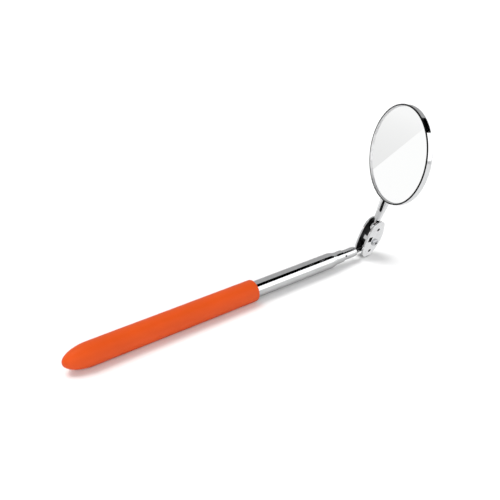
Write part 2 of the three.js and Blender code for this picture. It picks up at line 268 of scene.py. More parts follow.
def vinyl(name):
    """Dipped vinyl: a soft satin skin of uneven gloss, with flow marks and a faint orange peel."""
    f = Finish(name, (0.66, 0.076, 0.0075), 0.42)
    f.set("Specular IOR Level", 0.22).set("IOR", 1.5)
    f.set("Subsurface Weight", 0.06).set("Subsurface Radius", (1.0, 0.25, 0.1))
    f.set("Subsurface Scale", 0.0015)
    f.set("Coat Weight", 0.05).set("Coat Roughness", 0.22)
    f.vary_colour(f.noise(45, 4), (0.685, 0.08, 0.008), (0.635, 0.072, 0.007))
    f.vary_roughness(f.noise(210, 6), 0.34, 0.5)
    flow = f.noise(60, 3, f.stretched(HANDLE, (0.15, 1, 1)))
    return f.bumps((flow, 0.05), (f.noise(700, 3), 0.018), (f.noise(2600, 2), 0.005)).material


def nylon(name):
    f = Finish(name, (0.025, 0.025, 0.027), 0.5)
    f.vary_roughness(f.noise(900, 4), 0.42, 0.62)
    return f.bumps((f.noise(1800, 3), 0.01)).material


def mirror(name):
    """Silvered glass: clean, with the slightest haze that a cloth leaves."""
    f = Finish(name, (0.95, 0.955, 0.953), 0.0, metallic=1.0)
    return f.vary_roughness(f.noise(35, 3), 0.0, 0.014).material


def backing_paint(name):
    f = Finish(name, (0.28, 0.29, 0.3), 0.6)
    f.vary_colour(f.noise(160, 4), (0.31, 0.32, 0.33), (0.24, 0.25, 0.26))
    return f.bumps((f.noise(900, 3), 0.01)).material


def fibre_card(name):
    f = Finish(name, (0.34, 0.28, 0.2), 0.95)
    fibres = f.noise(1400, 6, f.stretched(HEAD, (1, 0.25, 1)))
    f.vary_colour(fibres, (0.42, 0.35, 0.26), (0.24, 0.19, 0.13))
    return f.bumps((fibres, 0.06)).material


# ---- Mesh building. Every builder works in local millimetres and places its mesh with a group's matrix. ----
ON_AXIS = 1e-9  # A smaller radius than this is a point on the axis
SAME_POINT = 1e-8  # Vertices closer than this are one, in metres
SAME_POINT_MM = 1e-4  # And for a sheet that is still in millimetres
CURVE_SHARE = 0.49  # The most of a profile's side that the curve at one of its ends takes up


def make(name, verts, faces, matrix):
    """An object from local vertices, with doubles joined and every face turned outwards."""
    mesh = bpy.data.meshes.new(name)
    mesh.from_pydata([matrix @ Vector(v) for v in verts], [], faces)
    mesh.validate()
    edit = bmesh.new()
    edit.from_mesh(mesh)
    bmesh.ops.remove_doubles(edit, verts=edit.verts, dist=SAME_POINT)
    bmesh.ops.recalc_face_normals(edit, faces=edit.faces)
    edit.to_mesh(mesh)
    edit.free()
    obj = bpy.data.objects.new(name, mesh)
    bpy.context.scene.collection.objects.link(obj)
    return obj


def smooth(obj, angle=SHARP):
    """Smooth shading in which each large flat face keeps its own normal up to its rounded edge."""
    obj.data.shade_smooth()
    obj.data.set_sharp_from_angle(angle=angle)
    weighted = obj.modifiers.new("flat faces", "WEIGHTED_NORMAL")
    weighted.mode = "FACE_AREA"
    weighted.weight = 100
    weighted.keep_sharp = True
    return applied(obj)


def applied(obj):
    """Bakes an object's modifiers into its mesh."""
    bpy.context.view_layer.update()
    mesh = bpy.data.meshes.new_from_object(obj.evaluated_get(bpy.context.evaluated_depsgraph_get()))
    obj.modifiers.clear()
    obj.data = mesh
    return obj


def boolean(obj, tools, operation="DIFFERENCE"):
    """Applies each tool in turn, and removes it."""
    for tool in tools:
        modifier = obj.modifiers.new("cut", "BOOLEAN")
        modifier.operation = operation
        modifier.solver = "EXACT"
        modifier.object = tool
        applied(obj)
        bpy.data.objects.remove(tool)
    return obj


def step(x, start, length):
    """0 before a stretch that starts there, 1 after it, and smooth between."""
    t = min(max((x - start) / length, 0), 1)
    return t * t * (3 - 2 * t)


def mixed(a, b, t):
    """a where t is 0, and b where it is 1."""
    return a + (b - a) * t


def rounded(points, steps=5):
    """A profile of (along, radius, fillet) corners as (along, radius) points, each corner a curve."""
    result = []
    for i, (x, r, fillet) in enumerate(points):
        if not fillet or i in (0, len(points) - 1):
            result.append((x, r))
            continue
        here = Vector((x, r))
        to_last = Vector(points[i - 1][:2]) - here
        to_next = Vector(points[i + 1][:2]) - here
        angle = to_last.angle(to_next)
        room = min(to_last.length, to_next.length) * CURVE_SHARE
        reach = min(fillet / math.tan(angle / 2), room)
        start = here + to_last.normalized() * reach
        end = here + to_next.normalized() * reach
        for k in range(steps + 1):
            t = k / steps
            result.append(tuple(start.lerp(here, t).lerp(here.lerp(end, t), t)))
    return result


def revolve(name, profile, matrix, sides=128, axis="X", wobble=None):
    """Turns (along, radius) points about local X or Z. Points on the axis close the end."""
    verts, rings = [], []
    for along, radius in profile:
        if radius < ON_AXIS:
            rings.append([len(verts)])
            verts.append((along, 0, 0))
            continue
        rings.append(range(len(verts), len(verts) + sides))
        for i in range(sides):
            a = TAU * i / sides
            r = radius + (wobble(along, a) if wobble else 0)
            verts.append((along, r * math.cos(a), r * math.sin(a)))
    faces = []
    for first, second in zip(rings, rings[1:]):
        for i in range(sides):
            j = (i + 1) % sides
            quad = (first[i % len(first)], first[j % len(first)],
                    second[j % len(second)], second[i % len(second)])
            corners = tuple(dict.fromkeys(quad))
            if len(corners) > 2:
                faces.append(corners)
    if axis == "Z":
        verts = [(y, z, x) for x, y, z in verts]
    return make(name, verts, faces, matrix)


def circle(x, y, radius, count=64):
    turns = [TAU * i / count for i in range(count)]
    return [(x + radius * math.cos(a), y + radius * math.sin(a)) for a in turns]


def post(name, x, z, y0, y1, radius, matrix, sides=48):
    """A plain cylinder or prism along local Y, used as a cutter or a blank."""
    verts = [(a, y, b) for y in (y0, y1) for a, b in circle(x, z, radius, sides)]
    ends = [tuple(range(sides)), tuple(range(sides, 2 * sides))]
    walls = [(i, (i + 1) % sides, sides + (i + 1) % sides, sides + i) for i in range(sides)]
    return make(name, verts, ends + walls, matrix)


def block(name, low, high, matrix):
    """A box between two opposite corners."""
    verts = [(x, y, z) for x in (low[0], high[0]) for y in (low[1], high[1]) for z in (low[2], high[2])]
    faces = [(0, 1, 3, 2), (4, 5, 7, 6), (0, 1, 5, 4), (2, 3, 7, 6), (0, 2, 6, 4), (1, 3, 7, 5)]
    return make(name, verts, faces, matrix)


def finished(obj, body, material, slot, *nodes, angle=SHARP):
    """Gives a piece its finish, hangs it on the body it rides on and hides the CAD nodes it stands for."""
    obj.data.materials.clear()
    obj.data.materials.append(material)
    smooth(obj, angle)
    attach(obj, body)
    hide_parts(*nodes)
    return obj


def refinish(obj, material, matrix, chosen):
    """Gives a second finish to the faces whose local centre and normal are chosen."""
    obj.data.materials.append(material)
    inverse = matrix.inverted()
    turn = inverse.to_3x3().normalized()
    for face in obj.data.polygons:
        if chosen(inverse @ face.center, turn @ face.normal):
            face.material_index = len(obj.data.materials) - 1


def outward(at, normal):
    """How far a normal points away from local Z's axis: 1 straight out, -1 straight in."""
    radius = math.hypot(at.x, at.y)
    return (at.x * normal.x + at.y * normal.y) / radius if radius else 0.0


# ---- The handle ----
def build_grip():
    """A closed, bullet-nosed sleeve with a rounded lip at its open front."""
    nose, nose_steps = 14.6, 40
    lip, lip_steps = 0.75, 8
    straight_steps = 90
    bore = TUBE_R + GAP
    chamfer = 0.1
    profile = []
    for i in range(nose_steps + 1):
        a = i / nose_steps * math.pi / 2
        profile.append((GRIP_TIP + nose * (1 - math.cos(a)), GRIP_R * math.sin(a)))
    straight = np.linspace(GRIP_TIP + nose, GRIP_FRONT - lip, straight_steps)[1:]
    profile += [(x, GRIP_R) for x in straight]
    for i in range(1, lip_steps + 1):
        a = math.pi / 2 * (1 - i / lip_steps)
        profile.append((GRIP_FRONT - lip * (1 - math.cos(a)), GRIP_R - lip * (1 - math.sin(a))))
    profile += [(GRIP_FRONT - chamfer, bore + chamfer), (GRIP_FRONT - 0.5, bore)]
    profile += [(TUBE_TAIL - GAP, bore), (TUBE_TAIL - GAP, 0)]

    thinning = 0.07
    patch_length, patches_across = 22, 0.8

    def uneven(x, a):
        """Dipping leaves the skin a few hundredths thinner in places, so it stays inside the CAD sleeve."""
        if x <= GRIP_TIP + 1 or x >= GRIP_FRONT - chamfer:
            return 0.0
        place = Vector((x / patch_length, math.cos(a) * patches_across, math.sin(a) * patches_across))
        return -thinning * (0.5 + 0.5 * noise.noise(place))

    grip = revolve("grip_skin", profile, HANDLE, 160, wobble=uneven)
    return finished(grip, "handle", vinyl("orange_vinyl"), "orange_vinyl", "grip_sleeve")


def build_outer_tube(material):
    """A straight tube with its front end swaged down round the rod."""
    wall = 0.8
    nose_r, nose_bore, bore = 3.75, 3.3, TUBE_R - wall
    swage_start, swage_end = -32.0, -25.4
    bore_lead = 0.4
    steps = 24

    def neck(r0, r1, lead):
        """The swage's profile from one radius to the other, that far ahead of the outside's."""
        return [(swage_start - lead + (swage_end - swage_start) * i / steps, mixed(r0, r1, step(i, 0, steps)))
                for i in range(steps + 1)]

    front = rounded([
        (swage_end + 1, nose_r, 0), (TUBE_FRONT, nose_r, 0.45), (TUBE_FRONT, nose_bore, 0.15),
        (TUBE_FRONT - 1, nose_bore, 0)], 6)
    outside = [(TUBE_TAIL, TUBE_R)] + neck(TUBE_R, nose_r, 0)
    inside = neck(bore, nose_bore, bore_lead)[::-1] + [(TUBE_TAIL, bore), (TUBE_TAIL, TUBE_R)]
    tube = revolve("chrome_handle_tube", outside + front + inside, HANDLE, 160)
    return finished(tube, "handle", material, "chrome_tube", "outer_tube")


# ---- The rod ----
PIN_X = middle("stud_cross_pin", HANDLE, 0)
PIN_R = half("stud_cross_pin", HANDLE, 0)
NECK_R = 1.5


def pin_turn():
    """The pin lies across the rod, turned about it by the angle at which its +Y end stands."""
    inverse = HANDLE.inverted()
    spots = [inverse @ v.co for v in frame["nodes"]["stud_cross_pin"].data.vertices]
    centre = [s for s in spots if abs(s.x - PIN_X) < PIN_R * 0.5]
    side = [s for s in centre if s.y > 0]
    mean = sum((Vector((0, s.y, s.z)) for s in side), Vector())
    return math.atan2(mean.z, mean.y)


PIN = HANDLE @ Matrix.Rotation(pin_turn(), 4, "X")


def pin_hole():
    """A cutter for the pin's hole, longer than the rod is wide."""
    return post("pin_hole", PIN_X, 0, -5, 5, PIN_R + 0.07, PIN)


def build_rod(material):
    wall = 0.6
    bore = ROD_R - wall
    tail_middle = ROD_R - 0.5
    profile = rounded([
        (ROD_TAIL, tail_middle, 0), (ROD_TAIL, ROD_R, 0.15), (ROD_FRONT, ROD_R, 0.35),
        (ROD_FRONT, bore, 0.1), (ROD_TAIL, bore, 0), (ROD_TAIL, tail_middle, 0)], 6)
    tube = revolve("inner_rod", profile, HANDLE, 128)
    boolean(tube, [pin_hole()])
    return finished(tube, "rod", material, "chrome_tube", "rod_tube")


def ball(toward):
    """A ball's profile, from its far pole to where the neck leaves it, towards -1 or 1 along X."""
    end = math.pi - math.asin(NECK_R / BALL_R)
    steps = 44
    return [(-toward * BALL_R * math.cos(end * i / steps), BALL_R * math.sin(end * i / steps))
            for i in range(steps + 1)]


def build_rod_stud(material):
    """The ball, a neck that widens to a shoulder on the rod's end, and a shank inside the rod."""
    shoulder = ROD_FRONT + GAP
    shank_end, shank_r = ROD_FRONT - 13, ROD_R - 0.66
    neck = rounded([
        (-3.2, NECK_R, 0), (-5.6, NECK_R, 1.5), (-7.8, 1.75, 2.0), (ROD_FRONT + 1.3, 2.85, 0.8),
        (shoulder, 3.0, 0.15), (shoulder, shank_r, 0), (shank_end, shank_r, 0.3), (shank_end, 0, 0)], 8)
    stud = revolve("rod_ball_and_neck", ball(-1) + neck, HANDLE, 96)
    boolean(stud, [pin_hole()])
    return finished(stud, "rod", material, "chrome_parts", "rod_ball_stud")


def build_cross_pin(material):
    """A pin with a punched dimple in each end."""
    end = ROD_R - 0.02
    punched = [(end - 0.16, 0), (end - 0.1, 0.12), (end, 0.3), (end - 0.02, PIN_R - 0.1), (end - 0.14, PIN_R)]
    profile = punched + [(-x, r) for x, r in reversed(punched)]
    pin = revolve("cross_pin", profile, PIN @ Matrix.Rotation(math.pi / 2, 4, "Z"), 40)
    return finished(pin, "rod", material, "plain_steel", "stud_cross_pin")


# ---- The clamp ----
SEAT_R = math.sqrt(BALL_R ** 2 - PLATE_IN ** 2) + 0.18
DIMPLE_R = 4.1
DIMPLE_HOLE = 1.1
TAB_X = BALL_PITCH / 2 + 0.7
TAB_Z = 3.1
TAB_HALF = (1.5, 1.2)
SLOT_GAP = 0.3
SCREW_HOLE_R = 1.32
SCREW_SIDE, TAB_SIDE = extent("front_clamp_plate", CLAMP, 2)


def bezier(points, steps=20):
    """Points along a cubic curve, its start left out."""
    t = np.linspace(0, 1, steps + 1)[1:, None]
    u = 1 - t
    p0, p1, p2, p3 = (np.array(p) for p in points)
    return [tuple(p) for p in u**3 * p0 + 3 * u * u * t * p1 + 3 * u * t * t * p2 + t**3 * p3]


def plate_outline():
    """Two round ends, which the bulging sides meet at a tangent, as points in the plate's plane."""
    middle_x = BALL_PITCH / 2
    open_angle = math.radians(112)
    lead, belly = 3, 4
    end_x, end_z = LOBE_R * math.cos(open_angle), LOBE_R * math.sin(open_angle)
    lead_x, lead_z = end_x + lead * math.sin(open_angle), end_z - lead * math.cos(open_angle)
    turns = np.linspace(open_angle, TAU - open_angle, 41)
    near_end = [(LOBE_R * math.cos(a), LOBE_R * math.sin(a)) for a in turns]
    far_end = [(BALL_PITCH - x, -z) for x, z in near_end]

    def side(out):
        """From the first end's tangent point to the second's, with the middle that far out."""
        sign = math.copysign(1, out)
        first = bezier([
            (end_x, sign * end_z), (lead_x, sign * lead_z), (middle_x - belly, out), (middle_x, out)])
        second = [(BALL_PITCH - x, z) for x, z in reversed(first[:-1])]
        return first + second + [(BALL_PITCH - end_x, sign * end_z)]

    return near_end + side(SCREW_SIDE)[:-1] + far_end + side(TAB_SIDE)[-2::-1]


def rectangle(x, y, half_x, half_y, corner=0.25):
    """Points round a rectangle with round corners."""
    points = []
    steps = 4
    for sx, sy, start in ((1, 1, 0), (-1, 1, 1), (-1, -1, 2), (1, -1, 3)):
        for k in range(steps + 1):
            a = (start + k / steps) * math.pi / 2
            points.append((x + sx * (half_x - corner) + corner * math.cos(a),
                           y + sy * (half_y - corner) + corner * math.sin(a)))
    return points


def stamped(name, outlines, thickness, edge, matrix):
    """A flat sheet with holes and rounded edges, in local X and Y, its middle plane at z = 0."""
    curve = bpy.data.curves.new(name, "CURVE")
    curve.dimensions = "2D"
    curve.fill_mode = "BOTH"
    curve.extrude = thickness / 2 - edge
    curve.bevel_depth = edge
    curve.bevel_resolution = 3
    curve.offset = -edge
    for points in outlines:
        spline = curve.splines.new("POLY")
        spline.points.add(len(points) - 1)
        for point, (x, y) in zip(spline.points, points):
            point.co = (x, y, 0, 1)
        spline.use_cyclic_u = True
    holder = bpy.data.objects.new(name + "_curve", curve)
    bpy.context.scene.collection.objects.link(holder)
    bpy.context.view_layer.update()
    mesh = bpy.data.meshes.new_from_object(holder.evaluated_get(bpy.context.evaluated_depsgraph_get()))
    bpy.data.objects.remove(holder)
    edit = bmesh.new()
    edit.from_mesh(mesh)
    bmesh.ops.remove_doubles(edit, verts=edit.verts, dist=SAME_POINT_MM)
    bmesh.ops.transform(edit, matrix=matrix, verts=edit.verts)
    bmesh.ops.recalc_face_normals(edit, faces=edit.faces)
    edit.to_mesh(mesh)
    edit.free()
    mesh.name = name
    obj = bpy.data.objects.new(name, mesh)
    bpy.context.scene.collection.objects.link(obj)
    return obj


def plate_matrix(y):
    """From a sheet drawn in X and Y to the clamp's X and Z, with its middle plane at that y."""
    return CLAMP @ Matrix.Translation((0, y, 0)) @ Matrix.Rotation(math.pi / 2, 4, "X")


def plate_holes():
    return [circle(0, 0, SEAT_R), circle(BALL_PITCH, 0, SEAT_R), circle(SCREW_X, SCREW_Z, SCREW_HOLE_R, 40)]


def dimple(x, turn):
    """A pressed dome with a hole in its top, over the ball at x. Its inside is the ball's seat."""
    proud = 0.02
    face, back = -PLATE_OUT + proud, -PLATE_IN - proud
    flange_r, dome_r = 3.05, 1.95
    edge = 0.08
    seat = BALL_R + 0.12
    foot = math.sqrt(seat ** 2 - back ** 2)
    flange = [(back, flange_r), (face, flange_r), (face, 2.6), (face + 0.015, 2.35), (face + 0.045, 2.12)]
    dome = [(math.sqrt(DIMPLE_R ** 2 - r * r), r) for r in np.linspace(dome_r, DIMPLE_HOLE + edge, 12)]
    hole_top = [(dome[-1][0] - edge, DIMPLE_HOLE)]
    inside = [(math.sqrt(seat ** 2 - r * r), r) for r in np.linspace(DIMPLE_HOLE, foot, 20)]
    matrix = CLAMP @ Matrix.Translation((x, 0, 0)) @ Matrix.Rotation(turn, 4, "Z")
    return revolve("dimple", flange + dome + hole_top + inside + flange[:1], matrix, 72)


def build_plates(material):
    """The front plate with its slot, and the back plate with the tab that reaches into it."""
    edge, tab_edge = 0.28, 0.15
    y = (PLATE_OUT + PLATE_IN) / 2
    outline, holes = plate_outline(), plate_holes()
    slot = rectangle(TAB_X, TAB_Z, TAB_HALF[0] + SLOT_GAP, TAB_HALF[1] + SLOT_GAP)
    front = stamped("front_plate", [outline, *holes, slot], PLATE_THICK, edge, plate_matrix(y))
    back = stamped("back_plate", [outline, *holes], PLATE_THICK, edge, plate_matrix(-y))
    tab_shape = rectangle(TAB_X, TAB_Z, *TAB_HALF, corner=0.2)
    tab_length, tab_y = -PLATE_IN * 2 + 0.8, -0.15
    tab = stamped("tab", [tab_shape], tab_length, tab_edge, plate_matrix(tab_y))
    boolean(back, [tab], "UNION")
    for plate, outward_turn in ((front, -math.pi / 2), (back, math.pi / 2)):
        boolean(plate, [dimple(0, outward_turn), dimple(BALL_PITCH, outward_turn)], "UNION")
    sharp = math.radians(40)
    finished(front, "clamp", material, "chrome_plate", "front_clamp_plate", angle=sharp)
    finished(back, "clamp", material, "chrome_plate", "back_clamp_plate", angle=sharp)

    plate_shade_paint = painted_shade_steel("painted_shade_plates", CLAMP)
    inner = -PLATE_IN + 0.4
    slot_reach = SLOT_GAP + 0.05
    facing = 0.4

    def in_slot(at):
        return abs(at.x - TAB_X) < TAB_HALF[0] + slot_reach and abs(at.z - TAB_Z) < TAB_HALF[1] + slot_reach

    def in_seat(at):
        """Whether a face is the inside of a dimple or the wall of its hole."""
        from_ball = min((at - Vector((x, 0, 0))).length for x in (0, BALL_PITCH))
        from_axis = min(math.hypot(at.x - x, at.z) for x in (0, BALL_PITCH))
        return from_ball < BALL_R + 0.2 or from_axis < DIMPLE_HOLE + 0.02

    # The slot, the dimples' seats and hole walls, and the plates' facing inner sides are painted dark: painted
    # shade.
    refinish(front, plate_shade_paint, CLAMP, lambda at, normal: in_slot(at) or in_seat(at)
             or (abs(at.y) < inner and normal.y > facing))
    refinish(back, plate_shade_paint, CLAMP, lambda at, normal: in_seat(at) or (normal.y < -facing and at.y < inner))


def at_screw(y):
    """Local X along the screw, from its head towards its end, with the origin on its axis at that y."""
    return CLAMP @ Matrix.Translation((SCREW_X, y, SCREW_Z)) @ Matrix.Rotation(math.pi / 2, 4, "Z")


def build_screw(material):
    """A pan-head screw with a cross recess, threaded where it leaves the nut."""
    head, head_r, shank_r = 1.4, 2.4, 1.25
    thread, pitch, core_r = 4.0, 0.45, 1.0
    arm, arm_half, recess = 1.25, 0.32, 0.85
    face = PLATE_OUT - GAP
    reach = SCREW_END - face
    profile = rounded([
        (-head, 0, 0), (-head, 1.1, 1.2), (-head + 0.3, 2.0, 0.9), (-0.35, head_r, 0.35), (0, head_r, 0.12),
        (0, shank_r, 0), (reach - thread - 0.2, shank_r, 0)], 8)
    for i in range(int(thread / pitch)):
        x = reach - thread - 0.1 + i * pitch
        profile += [(x, shank_r), (x + pitch / 2, core_r)]
    profile += [(reach - 0.3, 1.05), (reach, 0.8), (reach, 0)]
    screw = revolve("clamp_screw_fine", profile, at_screw(face), 64)
    # Two slots at right angles make the cross.
    for degrees in (28, 118):
        turned = Matrix.Translation((SCREW_X, face, SCREW_Z)) @ Matrix.Rotation(math.radians(degrees), 4, "Y")
        low, high = (-arm, -head - 1, -arm_half), (arm, -head + recess, arm_half)
        boolean(screw, [block("recess", low, high, CLAMP @ turned)])
    finished(screw, "clamp", material, "plain_steel", "clamp_screw")

    def in_recess(at, normal):
        wall = abs(normal.x) < 0.1 and at.x < 0
        floor = abs(at.x + head - recess) < 0.02
        return math.hypot(at.y, at.z) < arm + 0.1 and (wall or floor)

    # The cross recess is painted dark: painted shade.
    refinish(screw, painted_shade_steel("painted_shade_recess", CLAMP), at_screw(face), in_recess)


def build_washer(material):
    """A split spring washer, its ends a little apart."""
    inner_r, outer_r, height, rise = 1.35, 2.25, 0.5, 0.12
    section = ((inner_r, 0), (outer_r, 0), (outer_r, height), (inner_r, height))
    half_split = math.radians(8)
    y = -PLATE_OUT + GAP
    steps = 90
    verts, faces = [], []
    for i in range(steps + 1):
        a = half_split + (TAU - 2 * half_split) * i / steps
        for r, h in section:
            verts.append((SCREW_X + r * math.cos(a), y + rise * i / steps + h, SCREW_Z + r * math.sin(a)))
    for i in range(steps):
        for k in range(4):
            a, b = 4 * i + k, 4 * i + (k + 1) % 4
            faces.append((a, b, b + 4, a + 4))
    faces += [(0, 1, 2, 3), tuple(4 * steps + k for k in range(4))]
    washer = make("spring_washer", verts, faces, CLAMP)
    bevel = washer.modifiers.new("edge", "BEVEL")
    bevel.width = 0.06 * MM
    bevel.segments = 2
    bevel.limit_method = "ANGLE"
    applied(washer)
    return finished(washer, "clamp", material, "plain_steel", "lock_washer")


def build_nut(material):
    """A hexagon nut with both faces chamfered and both ends of its bore countersunk."""
    thick = NUT_END - NUT_FACE
    corner, face_r, widest = 2.5, 2.18, 2.75
    bore_r, sink_r, sink = SCREW_HOLE_R, 1.75, 0.35
    place = at_screw(NUT_FACE)
    upright = place @ Matrix.Rotation(-math.pi / 2, 4, "Z")
    hexagon = post("clamp_nut_fine", 0, 0, 0, thick, corner, upright, 6)
    lens = revolve("lens", rounded([
        (0, 0, 0), (0, face_r, 0.1), (0.4, widest, 0), (thick - 0.4, widest, 0),
        (thick, face_r, 0.1), (thick, 0, 0)]), place, 96)
    boolean(hexagon, [lens], "INTERSECT")
    bore = revolve("bore", [
        (-1, 0), (-1, sink_r), (sink, bore_r), (thick - sink, bore_r), (thick + 1, sink_r), (thick + 1, 0)],
        place, 64)
    boolean(hexagon, [bore])
    return finished(hexagon, "clamp", material, "plain_steel", "clamp_nut")


# ---- The mirror's stud and the head ----
def build_mirror_stud(material):
    """A ball whose headed shank sits inside the stem."""
    end = extent("mirror_ball_stud", HEAD, 0)[1]
    head, head_r, shank_r = end - 1.2, 1.8, 1.2
    neck = rounded([
        (3.0, 1.35, 0), (STEM_START - 0.3, shank_r, 0.6), (head, shank_r, 0), (head, head_r, 0.1),
        (end, head_r, 0.2), (end, 0, 0)])
    stud = revolve("mirror_ball_and_shank", ball(1) + neck, HEAD, 96)
    finished(stud, "mirror_stud", material, "chrome_parts", "mirror_ball_stud")
    # The shank inside the stem is painted dark: painted shade.
    refinish(stud, painted_shade_steel("painted_shade_shank", HEAD), HEAD, lambda at, normal: at.x > STEM_START + 1)


STEM_END = 21.5
STEM_START_R, STEM_END_R = 1.95, 3.15
STEM_WALL, STRAP_WALL = 0.5, 1.0
STRAP_HALF = 4.5
SEAM_LOW, SEAM_HIGH = math.radians(51), math.radians(38)
SLOT_START = 11.6  # Where the seam, a hairline until here, widens to a slot
SEAM_GAP, STEM_SLOT_GAP = 0.13, 0.95  # Half the width of each
OPENED = math.radians(98)  # How far round each half of the roll reaches where it has opened at the rim
FLAT_BEND = 0.001  # The bend of a flat sheet, in radians
TIP_WIDTH = 0.02  # The least width at the strap's round tip, as a share of its full width


def sheet_wall(x):
    """The sheet's thickness: the stem's, then the strap's."""
    return mixed(STEM_WALL, STRAP_WALL, step(x, STEM_END - 6, 12))


def stem_section(x, u):
    """Middle of the sheet at x, for u from -1 to 1 across it, with the sheet's outward direction, in Y and Z.

    The sheet is rolled round the stem's axis as far as the rim, its edges facing each other at the seam.
    Behind the case the roll opens and lies flat."""
    t = min((x - STEM_START) / (STEM_END - STEM_START), 1)
    wall = sheet_wall(x)
    opening = step(x, STEM_END - 0.3, 1.5)
    flatten = step(x, STEM_END, 11)
    radius = mixed(STEM_START_R, STEM_END_R, t) - wall / 2
    gap = mixed(SEAM_GAP, STEM_SLOT_GAP, step(x, SLOT_START, 1.4)) / radius
    cover = mixed(math.pi - gap, OPENED, opening)
    turn = mixed(mixed(SEAM_LOW, SEAM_HIGH, t), 0, opening)
    half_width = mixed(cover * radius, STRAP_HALF, flatten)
    if x > STRAP_END - STRAP_HALF:
        past = (x - STRAP_END + STRAP_HALF) / STRAP_HALF
        half_width *= math.sqrt(max(1 - past ** 2, TIP_WIDTH ** 2))
    bend = mixed(cover, FLAT_BEND, flatten)
    sheet_radius = half_width / bend
    bottom = mixed(-radius, CASE_BACK - GAP - wall / 2, flatten)
    a = bend * u

    def turned(y, z):
        return y * math.cos(turn) - z * math.sin(turn), y * math.sin(turn) + z * math.cos(turn)

    middle_point = turned(math.sin(a) * sheet_radius, bottom + sheet_radius * (1 - math.cos(a)))
    return middle_point, turned(math.sin(a), -math.cos(a))


def build_stem(material):
    """One sheet, as a closed grid: its outside, its inside and a rounded edge all round."""
    stations = [
        *np.linspace(STEM_START, STEM_END - 0.4, 60),
        *np.linspace(STEM_END - 0.3, STEM_END + 1.3, 14),
        *np.linspace(STEM_END + 1.6, STEM_END + 12, 26),
        *np.linspace(STEM_END + 13, STRAP_END - STRAP_HALF, 16),
        *[STRAP_END - STRAP_HALF * (1 - math.sin(a)) for a in np.linspace(0, math.pi / 2, 16)[1:]]]
    across = np.linspace(-1, 1, 73)
    edge_steps = 6
    edge_bulge = 0.5
    verts, rings = [], []
    for x in stations:
        ring = []
        for side in (1, -1):
            reach = side * sheet_wall(x) / 2
            for u in across[::side]:
                (y, z), (out_y, out_z) = stem_section(x, u)
                ring.append((x, y + out_y * reach, z + out_z * reach))
            # The sheet's edge turns from this side to the other.
            for k in range(1, edge_steps):
                a = math.pi * k / edge_steps
                out, along = math.cos(a), math.sin(a) * edge_bulge
                ring.append((x, y + reach * (out_y * out - out_z * along),
                             z + reach * (out_z * out + out_y * along)))
        rings.append(range(len(verts), len(verts) + len(ring)))
        verts += ring
    count = len(rings[0])
    faces = [(first[i], first[(i + 1) % count], second[(i + 1) % count], second[i])
             for first, second in zip(rings, rings[1:]) for i in range(count)]
    faces += [tuple(rings[0]), tuple(rings[-1])]
    stem = make("rolled_stem", verts, faces, HEAD)
    finished(stem, "head", material, "chrome_parts", "stem_bracket", angle=math.radians(50))
    # The inside of the roll is painted dark: painted shade.
    refinish(stem, painted_shade_steel("painted_shade_roll", HEAD), HEAD,
             lambda at, normal: at.x < STEM_END and at.y * normal.y + at.z * normal.z < -0.5)
    return stem


CASE = HEAD @ Matrix.Translation((CASE_X, 0, 0))


def build_case(material):
    """A drawn cup, round at its back, with a narrow flat rim and a hem that slopes in to hold the glass."""
    wall = 0.55
    rim = CASE_R - 0.78
    hem = CASE_R - 1.3
    foot = GLASS_FRONT + GAP
    edge = 0.55
    profile = rounded([
        (CASE_BACK, 0, 0), (CASE_BACK, CASE_R, 1.1), (CASE_FRONT - edge, CASE_R, 0),
        (CASE_FRONT, CASE_R, 0.3), (CASE_FRONT, rim, 0.12),
        (foot, hem, 0.1), (foot, CASE_R - wall, 0), (CASE_BACK + wall, CASE_R - wall, 0.5),
        (CASE_BACK + wall, 0, 0)], 10)
    cup = revolve("drawn_case", profile, CASE, 256, "Z")
    finished(cup, "head", material, "chrome_case", "mirror_case")
    # A thin dark line round the glass is painted on the rim's edge: a painted dark reflection and shade. The hem
    # inside it is satin.
    refinish(cup, painted_shade_steel("painted_dark_rim_line", HEAD), CASE,
             lambda at, normal: at.z > CASE_FRONT - edge and (normal.z > 0.25 or outward(at, normal) > 0.5))
    refinish(cup, satin_chrome("satin_hem"), CASE,
             lambda at, normal: foot - 0.1 < at.z < CASE_FRONT - 0.1 and outward(at, normal) < -0.5)
    return cup


def build_glass(material):
    """A disc with rounded edges."""
    profile = rounded([
        (GLASS_BACK, 0, 0), (GLASS_BACK, GLASS_R, 0.2), (GLASS_FRONT, GLASS_R, 0.25),
        (GLASS_FRONT, GLASS_R - 0.6, 0), (GLASS_FRONT, 0, 0)], 4)
    glass = revolve("silvered_glass", profile, CASE, 192, "Z")
    return finished(glass, "head", material, "mirror_glass", "mirror_glass")


def build_rivets(material):
    """Domed rivets through the strap and the case's back, clinched flat inside."""
    dome_r, dome, shank_r, clinch_r = 2.2, 0.8, 1.2, 1.9
    inside = CASE_BACK + 0.61
    for node in ("lower_rivet", "upper_rivet"):
        x = middle(node, HEAD, 0)
        low, high = extent(node, HEAD, 2)
        seat = low + dome + 0.05
        turns = np.linspace(0, math.pi / 2, 14)
        profile = [(low + dome * (1 - math.cos(a)), dome_r * math.sin(a)) for a in turns]
        profile += rounded([
            (seat, dome_r - 0.05, 0), (seat, shank_r, 0), (inside, shank_r, 0), (inside, clinch_r, 0),
            (high, clinch_r, 0.15), (high, 0, 0)], 4)
        rivet = revolve(node + "_fine", profile, HEAD @ Matrix.Translation((x, 0, 0)), 48, "Z")
        finished(rivet, "head", material, "plain_steel", node)


# ---- Floor, lights and surroundings, in metres ----
FLOOR_HALF = 3
FLOOR_WHITE = 0.93
FLOOR_IN_CHROME = 0.52
ROOM = {"front": 1.35, "back": 0.42, "diffuse": 0.42, "camera": 1.0}
ROOM_FADE = (-0.25, 0.1)  # The Y of a direction between which the room's front turns into its back
KEY_FROM = (-0.35, 0.5, 1.5)
KEY_STRENGTH = 1.95
FRONT_FROM = (-0.8, -1.1, 0.75)
FRONT_STRENGTH = 1.5
SUN_SOFTNESS = math.radians(38)
